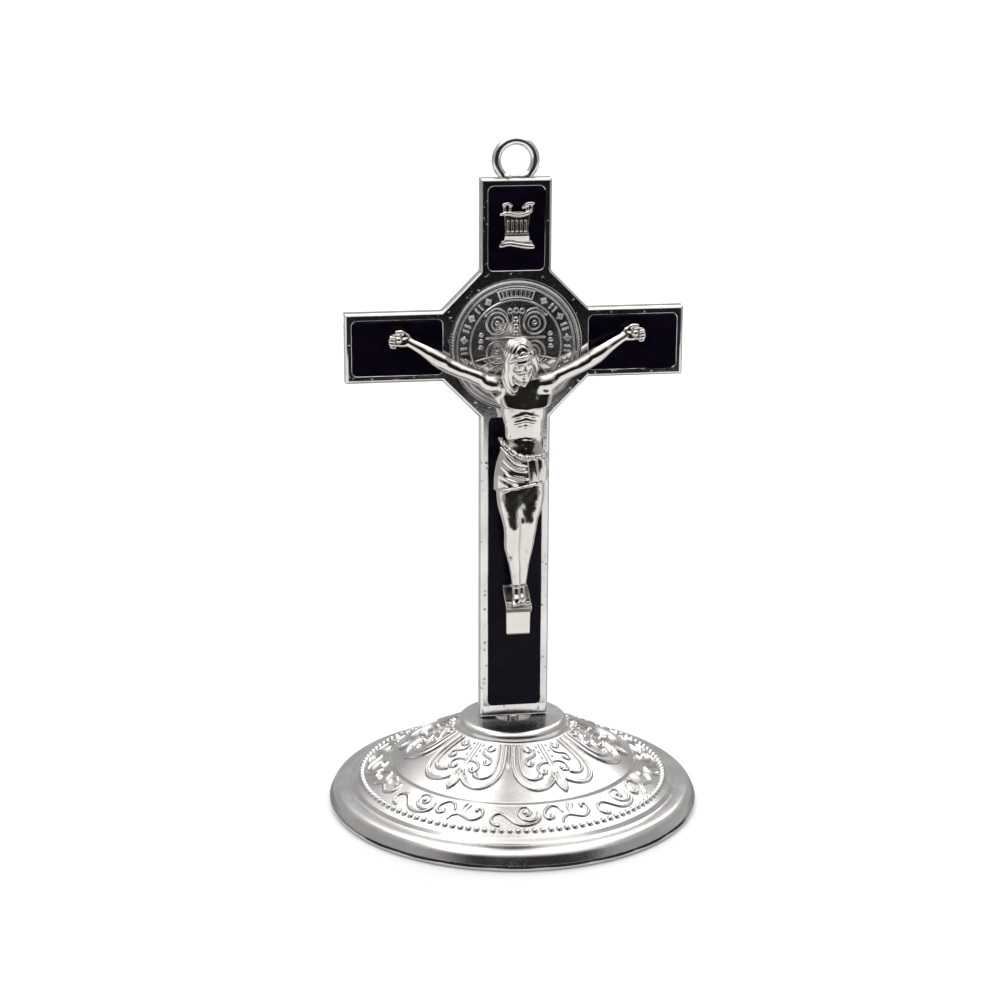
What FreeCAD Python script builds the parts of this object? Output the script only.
import FreeCAD, Part
import math
import os
from FreeCAD import Base

# Altar cross: a plated die-cast cross with black enamel panels, an inset medal, a small scroll and
# a cast figure, standing on a round foot stamped from sheet metal. The cross is held by one cast
# peg, headed under the foot, and turns on it against friction.
# Frame: millimetres, +Z up, origin at the centre of the foot's underside, the cross facing -Y,
# +X to a viewer's right.

# ---------------------------------------------------------------- driving dimensions
CROSS_T = 2.7            # thickness of the cross plate
CROSS_TOP = 113.35       # top end of the upright
CROSS_FOOT = 15.97       # underside of the upright, just clear of the foot's flat centre
CROSSING_Z = 84.54       # centre of the crossing
UPRIGHT_HALF = 6.2       # half width of the upright
ARM_HALF = 6.12          # half height of the arms
SPAN_HALF = 29.7         # half of the span over the arms
OCT = 12.87              # distance from the centre where the crossing's slanting edges end
FRONT_BEVEL = 0.42
BACK_BEVEL = 0.2

PANEL_DEPTH = 0.45       # depth of the sunk panels
ENAMEL_T = 0.36          # thickness of the enamel in them
PANEL_R = 0.9            # corner radius of the panels
PANEL_GAP = 0.01         # enamel edge to metal
UPPER_HALF = 4.85
UPPER_Z = (97.6, 112.0)
LOWER_HALF = 4.75
LOWER_Z = (18.3, 71.65)
ARM_X = (12.85, 28.45)
ARM_PANEL_Z = (79.8, 89.35)

MEDAL_R = 11.42
MEDAL_SEAT_R = 11.46
MEDAL_SEAT_DEPTH = 0.7
MEDAL_T = 0.6            # plain thickness of the medal
MEDAL_RIM_H = 0.35       # outer rim above the field
MEDAL_SECOND_H = 0.27    # second rim above the field
MEDAL_INNER_H = 0.22     # ring inside the ornament band
MEDAL_BAND_R = 9.0       # middle of the ornament band
MEDAL_STUDS = 18
MEDAL_STUD_R = 0.42
MEDAL_CROSS_LONG = 13.6
MEDAL_CROSS_WIDE = 0.9
MEDAL_OVAL_AT = 3.4      # centres of the four round fields, along x and along z
MEDAL_OVAL_R = 1.9

SCROLL_HALF = 2.2        # half width of the strip
SCROLL_Z = (101.8, 107.8)
SCROLL_T = 0.5
SCROLL_ROLL = (5.7, 0.6)     # length and radius of the rolled lower end
SCROLL_BARS = 4
SCROLL_BAR_PITCH = 0.98

LOOP_Z = 116.3           # centre of the hanging loop
LOOP_OUT = 8.3
LOOP_WIRE = 1.6

HAND_X = 20.7
HAND_Z = 86.4
HAND_RIVET_R = 0.5
HAND_RIVET_OFF = 2.15    # how far the shank stands in front of the cross's face, into the domed head
FOOT_RIVET_Z = 35.0
FOOT_RIVET_R = 0.6
FOOT_RIVET_OFF = 2.9     # the front end stays hidden inside the block
RIVET_CLEAR = 0.03

SHEET = 0.6              # sheet thickness of the foot
FOOT_R = 33.5            # outer radius of the foot
HEM = 1.95               # width of the edge curled under
FLAT_Z = 15.95           # flat centre of the foot
FLAT_R = 9.85
DIMPLE_Z = 15.45         # sunk seat round the hole in the centre
PEG_R = 1.10
HOLE_R = 1.15
WASHER_R = 2.6
WASHER_T = 0.4
PEG_HEAD_R = 1.9
PEG_HEAD_T = 0.7

FACE = -CROSS_T / 2.0    # y of the cross's front face
BACK = CROSS_T / 2.0

os.makedirs("parts", exist_ok=True)


def V(x, y, z):
    return Base.Vector(x, y, z)


def save(name, shape):
    shape = shape.removeSplitter()
    if len(shape.Solids) == 1:
        shape = shape.Solids[0]
    shape.exportStep("parts/%s.step" % name)
    facts = (name, shape.isValid(), len(shape.Solids), shape.Volume)
    print("%-16s valid %s  solids %d  volume %.2f" % facts)
    return shape


def prism(points, y0, y1):
    """Plate with an outline of (x, z) points between two y values."""
    wire = Part.makePolygon([V(x, y0, z) for x, z in points] + [V(points[0][0], y0, points[0][1])])
    return Part.Face(wire).extrude(V(0, y1 - y0, 0))


def rounded_block(x0, x1, z0, z1, y0, y1, radius):
    box = Part.makeBox(x1 - x0, y1 - y0, z1 - z0, V(x0, y0, z0))
    edges = [e for e in box.Edges if abs(e.Vertexes[0].Y - e.Vertexes[1].Y) > 1e-6]
    return box.makeFillet(radius, edges)


def cylinder_y(x, z, radius, y0, y1):
    return Part.makeCylinder(radius, y1 - y0, V(x, y0, z), V(0, 1, 0))


def revolve_profile(points, centre, axis):
    wire = Part.makePolygon(points + [points[0]])
    return Part.Face(wire).revolve(centre, axis, 360)


# ---------------------------------------------------------------- cross plate
def cross_outline():
    u, a, s = UPRIGHT_HALF, ARM_HALF, SPAN_HALF
    top, foot, c = CROSS_TOP, CROSS_FOOT, CROSSING_Z
    right = [(u, foot), (u, c - OCT), (OCT, c - a), (s, c - a)]
    right += [(s, c + a), (OCT, c + a), (u, c + OCT), (u, top)]
    left = [(-x, z) for x, z in reversed(right)]
    return right + left


PANELS = {
    "upper": (-UPPER_HALF, UPPER_HALF, UPPER_Z[0], UPPER_Z[1]),
    "left": (-ARM_X[1], -ARM_X[0], ARM_PANEL_Z[0], ARM_PANEL_Z[1]),
    "right": (ARM_X[0], ARM_X[1], ARM_PANEL_Z[0], ARM_PANEL_Z[1]),
    "lower": (-LOWER_HALF, LOWER_HALF, LOWER_Z[0], LOWER_Z[1]),
}


def edges_at(shape, y):
    return [e for e in shape.Edges if all(abs(v.Y - y) < 1e-6 for v in e.Vertexes)]


def make_cross():
    plate = prism(cross_outline(), FACE, BACK)
    plate = plate.makeChamfer(FRONT_BEVEL, edges_at(plate, FACE))
    plate = plate.makeChamfer(BACK_BEVEL, edges_at(plate, BACK))
    cuts = []
    for x0, x1, z0, z1 in PANELS.values():
        cuts.append(rounded_block(x0, x1, z0, z1, FACE - 1.0, FACE + PANEL_DEPTH, PANEL_R))
    cuts.append(cylinder_y(0, CROSSING_Z, MEDAL_SEAT_R, FACE - 1.0, FACE + MEDAL_SEAT_DEPTH))
    for x in (-HAND_X, HAND_X):
        cuts.append(cylinder_y(x, HAND_Z, HAND_RIVET_R + RIVET_CLEAR, FACE - 1.0, BACK + 1.0))
    cuts.append(cylinder_y(0, FOOT_RIVET_Z, FOOT_RIVET_R + RIVET_CLEAR, FACE - 1.0, BACK + 1.0))
    peg_end = DIMPLE_Z - SHEET - WASHER_T - 0.05 - PEG_HEAD_T
    peg = Part.makeCylinder(PEG_R, CROSS_FOOT + 0.5 - peg_end, V(0, 0, peg_end))
    head = Part.makeCylinder(PEG_HEAD_R, PEG_HEAD_T, V(0, 0, peg_end))
    head = head.makeFillet(0.3, [e for e in head.Edges if abs(e.BoundBox.ZMax - peg_end) < 1e-6])
    body = plate.fuse([peg, head])
    return body.cut(cuts)


def make_enamel(name):
    x0, x1, z0, z1 = PANELS[name]
    g = PANEL_GAP
    y1 = FACE + PANEL_DEPTH
    fill = rounded_block(x0 + g, x1 - g, z0 + g, z1 - g, y1 - ENAMEL_T, y1, PANEL_R - g)
    if name in ("left", "right"):
        side = -HAND_X if name == "left" else HAND_X
        fill = fill.cut(cylinder_y(side, HAND_Z, HAND_RIVET_R + RIVET_CLEAR, FACE - 1, BACK))
    if name == "lower":
        fill = fill.cut(cylinder_y(0, FOOT_RIVET_Z, FOOT_RIVET_R + RIVET_CLEAR, FACE - 1, BACK))
    return fill


# ---------------------------------------------------------------- medal
def make_medal():
    seat = FACE + MEDAL_SEAT_DEPTH
    field = seat - MEDAL_T
    rim = field - MEDAL_RIM_H
    second = field - MEDAL_SECOND_H
    inner = field - MEDAL_INNER_H
    r = MEDAL_R
    # half section, radius against y, from the back's centre round to the field's; the front is towards -Y
    steps = [(0, seat), (r, seat), (r, rim + 0.2), (r - 0.25, rim), (r - 0.6, rim)]
    steps += [(r - 0.8, field - 0.1), (r - 1.0, field - 0.1)]
    steps += [(r - 1.15, second), (r - 1.45, second), (r - 1.65, field)]
    steps += [(8.25, field), (8.1, inner), (7.8, inner), (7.65, field), (0, field)]
    points = [V(x, y, CROSSING_Z) for x, y in steps]
    disc = revolve_profile(points, V(0, 0, CROSSING_Z), V(0, 1, 0))
    long, wide = MEDAL_CROSS_LONG, MEDAL_CROSS_WIDE
    sunk = 0.25
    relief = [
        Part.makeBox(wide, 0.5, long, V(-wide / 2, field - 0.22, CROSSING_Z - long / 2)),
        Part.makeBox(long, 0.5, wide, V(-long / 2, field - 0.22, CROSSING_Z - wide / 2)),
    ]
    for sx in (-1, 1):
        for sz in (-1, 1):
            x, z = sx * MEDAL_OVAL_AT, CROSSING_Z + sz * MEDAL_OVAL_AT
            relief.append(cylinder_y(x, z, MEDAL_OVAL_R, field - sunk, field + 0.1))
    for k in range(MEDAL_STUDS):
        t = 2 * math.pi * (k + 0.5) / MEDAL_STUDS
        x, z = MEDAL_BAND_R * math.cos(t), CROSSING_Z + MEDAL_BAND_R * math.sin(t)
        relief.append(cylinder_y(x, z, MEDAL_STUD_R, field - 0.2, field + 0.1))
    return disc.fuse(relief)


# ---------------------------------------------------------------- scroll
def make_scroll():
    y0 = FACE + PANEL_DEPTH - ENAMEL_T
    low, high = SCROLL_Z
    long, roll_r = SCROLL_ROLL
    sheet = Part.makeBox(2 * SCROLL_HALF, SCROLL_T, high - low, V(-SCROLL_HALF, y0 - SCROLL_T, low))
    roll = Part.makeCylinder(roll_r, long, V(-long / 2, y0 - roll_r, low + 0.2), V(1, 0, 0))
    band = Part.makeBox(5.5, 0.65, 0.8, V(-2.75, y0 - 0.65, high - 0.8))
    pieces = [roll, band]
    for x0, x1 in ((-SCROLL_HALF, -0.7), (0.9, 2.8)):
        pieces.append(Part.makeBox(x1 - x0, 0.6, 1.7, V(x0, y0 - 0.6, high - 0.2)))
    for k in range(SCROLL_BARS):
        x = SCROLL_BAR_PITCH * (k - (SCROLL_BARS - 1) / 2.0)
        pieces.append(Part.makeBox(0.55, 0.3, 1.9, V(x - 0.275, y0 - 0.75, low + 2.5)))
    return sheet.fuse(pieces)


# ---------------------------------------------------------------- hanging loop
def make_loop():
    wire_r = LOOP_WIRE / 2.0
    ring = Part.makeTorus(LOOP_OUT / 2.0 - wire_r, wire_r, V(0, 0, LOOP_Z), V(0, 1, 0))
    foot = Part.makeCone(1.25, 0.75, 0.8, V(0, 0, CROSS_TOP), V(0, 0, 1))
    wide = []
    for s in (-1, 1):
        wide.append(Part.makeCone(1.1, 0.55, 0.9, V(s * 0.9, 0, CROSS_TOP), V(s * 0.5, 0, 1)))
    body = ring.fuse([foot] + wide)
    hole = cylinder_y(0, LOOP_Z, LOOP_OUT / 2.0 - LOOP_WIRE, -3, 3)
    below = Part.makeBox(12, 12, 6, V(-6, -6, CROSS_TOP - 6))
    return body.cut([hole, below])


# ---------------------------------------------------------------- figure
def out(x, z, off):
    """Point at a distance off in front of the cross's face."""
    return V(x, FACE - off, z)


def chain(nodes):
    """Tapered limb through (x, z, off, radius) nodes."""
    parts = []
    for k, (x, z, off, r) in enumerate(nodes):
        parts.append(Part.makeSphere(r, out(x, z, off)))
        if k:
            px, pz, poff, pr = nodes[k - 1]
            a = out(px, pz, poff)
            b = out(x, z, off)
            d = b - a
            if abs(pr - r) < 1e-6:
                parts.append(Part.makeCylinder(r, d.Length, a, d))
            else:
                parts.append(Part.makeCone(pr, r, d.Length, a, d))
    return parts


def ellipse_wire(x, z, off, half_x, half_y):
    centre = out(x, z, off)
    if half_x >= half_y:
        curve = Part.Ellipse(centre + V(half_x, 0, 0), centre + V(0, half_y, 0), centre)
    else:
        curve = Part.Ellipse(centre + V(0, half_y, 0), centre + V(-half_x, 0, 0), centre)
    return Part.Wire([curve.toShape()])


def column(sections):
    """Solid through level elliptical sections (x, z, off, half width, half depth)."""
    return Part.makeLoft([ellipse_wire(*s) for s in sections], True, False)


def ellipsoid(x, z, off, rx, ry, rz, bow=0.0, lean=0.0):
    """Ellipsoid, tipped forward by bow and to the viewer's right by lean, in degrees."""
    ball = Part.makeSphere(1.0)
    m = Base.Matrix()
    m.scale(rx, ry, rz)
    ball = ball.transformGeometry(m)
    ball.rotate(V(0, 0, 0), V(1, 0, 0), bow)
    ball.rotate(V(0, 0, 0), V(0, 1, 0), lean)
    ball.translate(out(x, z, off))
    return ball


def make_corpus():
    torso = column([
        (0.10, 79.6, 3.9, 4.2, 1.5), (0.45, 77.5, 3.9, 4.6, 2.1), (0.85, 74.5, 3.8, 4.15, 2.3),
        (0.95, 71.0, 3.6, 3.75, 2.0), (0.95, 68.0, 3.4, 3.5, 1.8), (0.70, 65.5, 3.4, 4.1, 2.1),
    ])
    cloth = column([
        (0.85, 67.6, 3.4, 3.95, 2.3), (0.65, 65.0, 3.5, 4.5, 2.6), (0.45, 62.0, 3.6, 4.7, 2.75),
        (0.25, 59.6, 3.7, 4.6, 2.8),
    ])
    head = ellipsoid(-0.30, 83.3, 6.1, 2.45, 2.8, 3.9, bow=14, lean=-7)
    hair = ellipsoid(-0.30, 82.3, 5.0, 2.95, 2.5, 3.8, bow=8, lean=-5)
    pieces = [torso, cloth, head, hair]
    pieces += chain([(0.0, 79.0, 3.9, 1.6), (-0.2, 80.8, 4.6, 1.6)])
    for side, shoulder, elbow, wrist in ((-1, 4.6, 12.5, 18.3), (1, 4.7, 12.1, 18.2)):
        pieces += chain([
            (side * shoulder, 78.6, 3.7, 1.75), (side * (shoulder + 3.2), 80.2, 3.1, 1.4),
            (side * elbow, 81.8, 2.5, 1.15), (side * (elbow + 2.0), 83.0, 2.2, 1.2),
            (side * wrist, 85.7, 1.5, 0.8), (side * (wrist + 1.2), 86.2, 1.2, 0.85),
        ])
        pieces.append(ellipsoid(side * HAND_X, HAND_Z, 0.93, 1.9, 0.95, 1.7))
        thumb = (side * (HAND_X + 0.6), HAND_Z + 1.1, 1.1, 0.75)
        fingers = (side * (HAND_X + 2.0), HAND_Z + 0.5, 1.7, 0.6)
        pieces += chain([thumb, fingers])
    pieces += chain([
        (-1.75, 60.5, 3.8, 2.3), (-1.45, 56.5, 4.4, 1.95),
        (-1.05, 53.4, 5.0, 1.55), (-1.0, 49.5, 4.2, 1.45),
        (-0.45, 42.6, 3.1, 0.9), (-0.45, 40.6, 3.5, 1.05), (-0.6, 38.9, 4.6, 0.75),
    ])
    pieces += chain([
        (2.05, 60.5, 3.8, 2.3), (1.75, 56.5, 4.4, 1.95), (1.2, 53.4, 5.0, 1.5), (0.75, 49.5, 4.1, 1.4),
        (0.55, 42.6, 2.6, 0.9), (0.4, 40.6, 2.7, 1.05), (0.3, 38.7, 3.6, 0.75),
    ])
    tray = Part.makeBox(5.0, 5.2, 0.9, V(-2.5, -5.2, -0.9))
    tray.rotate(V(0, 0, 0), V(1, 0, 0), 30)
    tray.translate(V(0, FACE - 0.05, 41.0))
    block_side = [(0.0, 40.4), (4.4, 37.9), (3.2, 33.0), (0.0, 33.0)]
    wire = Part.makePolygon([V(-2.0, FACE - o, z) for o, z in block_side + block_side[:1]])
    block = Part.Face(wire).extrude(V(4.0, 0, 0))
    pieces += [tray, block]
    body = pieces[0].fuse(pieces[1:])
    hand_hole = HAND_RIVET_R + RIVET_CLEAR
    holes = [cylinder_y(s * HAND_X, HAND_Z, hand_hole, FACE - 8, FACE + 1) for s in (-1, 1)]
    holes.append(cylinder_y(0, FOOT_RIVET_Z, FOOT_RIVET_R + RIVET_CLEAR, FACE - 3.0, FACE + 1))
    keep = Part.makeBox(60, 12, 70, V(-30, FACE - 12.0, 25))
    body = body.common(keep)
    return body.cut(holes)


# ---------------------------------------------------------------- rivets
def make_rivet(x, z, radius, front_off, domed):
    tail_y = BACK
    shank = cylinder_y(x, z, radius, FACE - front_off, tail_y + 0.05)
    tail = cylinder_y(x, z, radius * 1.7, tail_y, tail_y + 0.3)
    tail = tail.makeFillet(0.15, [e for e in tail.Edges if abs(e.BoundBox.YMin - tail_y - 0.3) < 1e-6])
    parts = [tail]
    if domed:
        parts.append(Part.makeSphere(radius * 1.45, V(x, FACE - front_off + 0.2, z)).common(
            cylinder_y(x, z, radius * 2, FACE - front_off - 1.0, FACE - front_off + 0.2)))
    return shank.fuse(parts)


# ---------------------------------------------------------------- foot of sheet metal
def corner_path(points, radii):
    """Lines with tangent arcs at the inner corners, in the XZ plane."""
    edges = []
    start = points[0]
    for k in range(1, len(points) - 1):
        p = points[k]
        a = (points[k - 1] - p).normalize()
        b = (points[k + 1] - p).normalize()
        half = a.getAngle(b) / 2.0
        if radii[k] < 1e-6:
            edges.append(Part.LineSegment(start, p).toShape())
            start = p
            continue
        run = radii[k] / math.tan(half)
        p0 = p + a * run
        p1 = p + b * run
        mid_dir = (a + b).normalize()
        centre = p + mid_dir * (radii[k] / math.sin(half))
        mid = centre - mid_dir * radii[k]
        if (p0 - start).Length > 1e-6:
            edges.append(Part.LineSegment(start, p0).toShape())
        edges.append(Part.Arc(p0, mid, p1).toShape())
        start = p1
    edges.append(Part.LineSegment(start, points[-1]).toShape())
    return edges


def inner_path(points, radii, t):
    """The other side of the sheet, t to the right of the path from the centre out."""
    normals = []
    for a, b in zip(points[:-1], points[1:]):
        d = (b - a).normalize()
        normals.append(V(d.z, 0, -d.x))
    new_points = [points[0] + normals[0] * t]
    new_radii = [0.0]
    for k in range(1, len(points) - 1):
        n0 = normals[k - 1]
        n1 = normals[k]
        m = (n0 + n1) * (t / (1.0 + n0.dot(n1)))
        new_points.append(points[k] + m)
        turn = n0.cross(n1).y
        new_radii.append(max(radii[k] + (t if turn < 0 else -t), 0.0) if radii[k] > 0 else 0.0)
    new_points.append(points[-1] + normals[-1] * t)
    new_radii.append(0.0)
    return new_points, new_radii


FOOT_SECTION = [
    # radius, height, corner radius; from the hole out over the top and under the curled edge
    (HOLE_R, DIMPLE_Z, 0.0),
    (2.75, DIMPLE_Z, 0.7),
    (3.35, FLAT_Z, 0.7),
    (FLAT_R, FLAT_Z, 1.3),
    (9.95, 14.15, 0.65),
    (22.05, 7.95, 0.3),
    (22.35, 7.50, 0.65),
    (28.9, 4.30, 0.3),
    (29.55, 3.55, 0.65),
    (30.5, 3.60, 0.7),
    (32.35, 3.42, 2.0),
    (FOOT_R, 0.95, 1.2),
    (33.1, 0.0, 0.45),
    (FOOT_R - HEM, 0.0, 0.4),
    (FOOT_R - HEM, 1.6, 0.0),
]


def make_foot():
    points = [V(r, 0, z) for r, z, c in FOOT_SECTION]
    radii = [c for r, z, c in FOOT_SECTION]
    outer = corner_path(points, radii)
    in_points, in_radii = inner_path(points, radii, SHEET)
    inner = corner_path(in_points, in_radii)
    ends = [
        Part.LineSegment(points[0], in_points[0]).toShape(),
        Part.LineSegment(points[-1], in_points[-1]).toShape(),
    ]
    wire = Part.Wire(Part.__sortEdges__(outer + inner + ends))
    return Part.Face(wire).revolve(V(0, 0, 0), V(0, 0, 1), 360)


def make_washer():
    top = DIMPLE_Z - SHEET
    washer = Part.makeCylinder(WASHER_R, WASHER_T, V(0, 0, top - WASHER_T))
    return washer.cut(Part.makeCylinder(HOLE_R, 2, V(0, 0, top - 1.5)))


save("cross_casting", make_cross())
for panel in PANELS:
    save("enamel_" + panel, make_enamel(panel))
save("medal", make_medal())
save("titulus_scroll", make_scroll())
save("hanging_loop", make_loop())
save("corpus", make_corpus())
hand_pair = [make_rivet(s * HAND_X, HAND_Z, HAND_RIVET_R, HAND_RIVET_OFF, True) for s in (-1, 1)]
save("hand_rivets", Part.makeCompound(hand_pair))
save("foot_rivet", make_rivet(0, FOOT_RIVET_Z, FOOT_RIVET_R, FOOT_RIVET_OFF, False))
save("base_shell", make_foot())
save("base_washer", make_washer())
